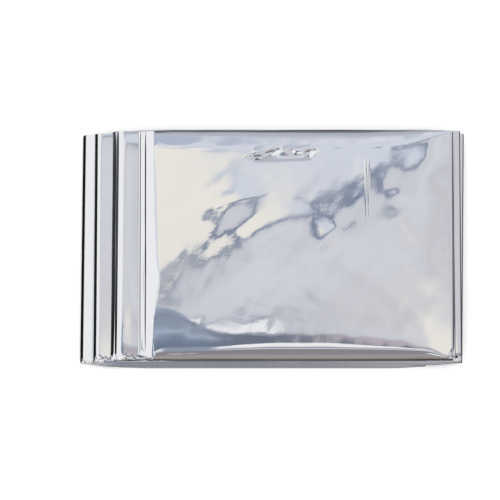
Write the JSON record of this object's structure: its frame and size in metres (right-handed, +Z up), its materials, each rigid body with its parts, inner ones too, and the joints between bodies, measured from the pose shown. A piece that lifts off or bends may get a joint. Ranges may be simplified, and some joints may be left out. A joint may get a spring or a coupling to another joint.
{
  "type": "folded emergency foil blanket",
  "caption": "Bright metallised film blanket folded back and forth into a flat rectangular pack, with stepped folds at one end and a front edge that rolls over; keeps a casualty warm.",
  "frame": {"origin": "middle of the base, on the surface that the pack rests on", "axes": "+X along the layers towards the right-hand ends, away from the stepped folds; +Y to the back, away from the rolled front edge; +Z up through the layers"},
  "size_m": [0.1326, 0.0826, 0.0126],
  "materials": {
    "foil": "bright mirror-like aluminium coat on thin polyester film, finely creased"
  },
  "bodies": {
    "root": {"foil_blanket": "foil"}
  },
  "joints": []
}
